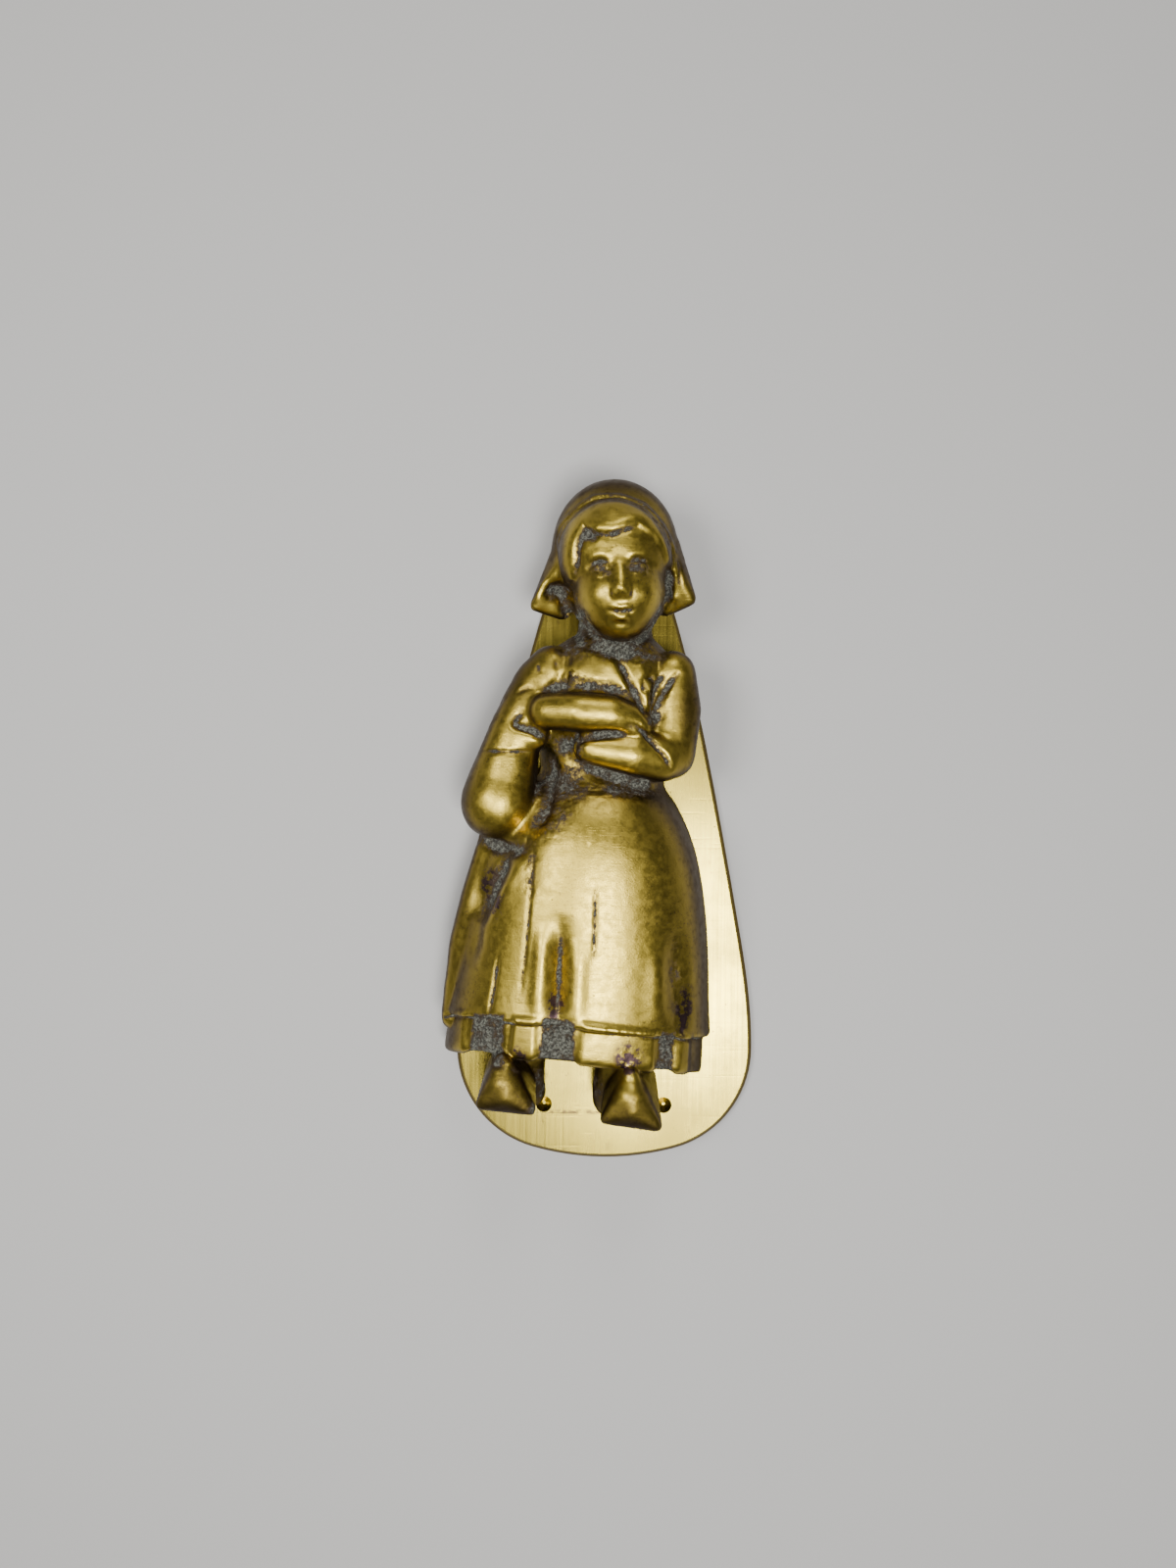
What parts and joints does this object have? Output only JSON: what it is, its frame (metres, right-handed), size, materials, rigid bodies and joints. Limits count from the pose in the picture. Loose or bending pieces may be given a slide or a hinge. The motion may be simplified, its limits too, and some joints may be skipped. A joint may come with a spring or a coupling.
{
  "type": "sprung letter clip",
  "caption": "Hollow cast brass girl hinged over a pear-shaped brass back plate; pressing the head lifts the feet, which grip papers.",
  "frame": {"origin": "centre of the hanging hole, on the back face of the plate", "axes": "+Z out of the plate's face towards the figure, +Y up the plate towards the figure's head, +X to the right of someone who looks at the figure"},
  "size_m": [0.0584, 0.1246, 0.0323],
  "materials": {
    "cast_brass": "worn, with brown patina",
    "plate_brass": "polished, scratched",
    "steel": "dull"
  },
  "bodies": {
    "plate": {"back_plate": "plate_brass", "hinge_bracket": "plate_brass", "bracket_rivets": "plate_brass", "torsion_spring": "steel"},
    "pin": {"hinge_pin": "steel"},
    "figure": {"figure": "cast_brass", "grip_pins": "steel"}
  },
  "joints": [
    {"name": "clip_hinge", "type": "hinge", "parent": "plate", "child": "pin", "pos_m": [0, -0.0275, 0.0108], "axis": [-1, 0, 0], "range_deg": [0, 14], "stiffness_Nm_per_rad": 0.9, "springref_deg": -34.38, "deforming": ["torsion_spring"]},
    {"name": "side_play", "type": "hinge", "parent": "pin", "child": "figure", "pos_m": [0, -0.0275, 0.0108], "axis": [0, 0, 1], "range_deg": [0, 10]}
  ]
}
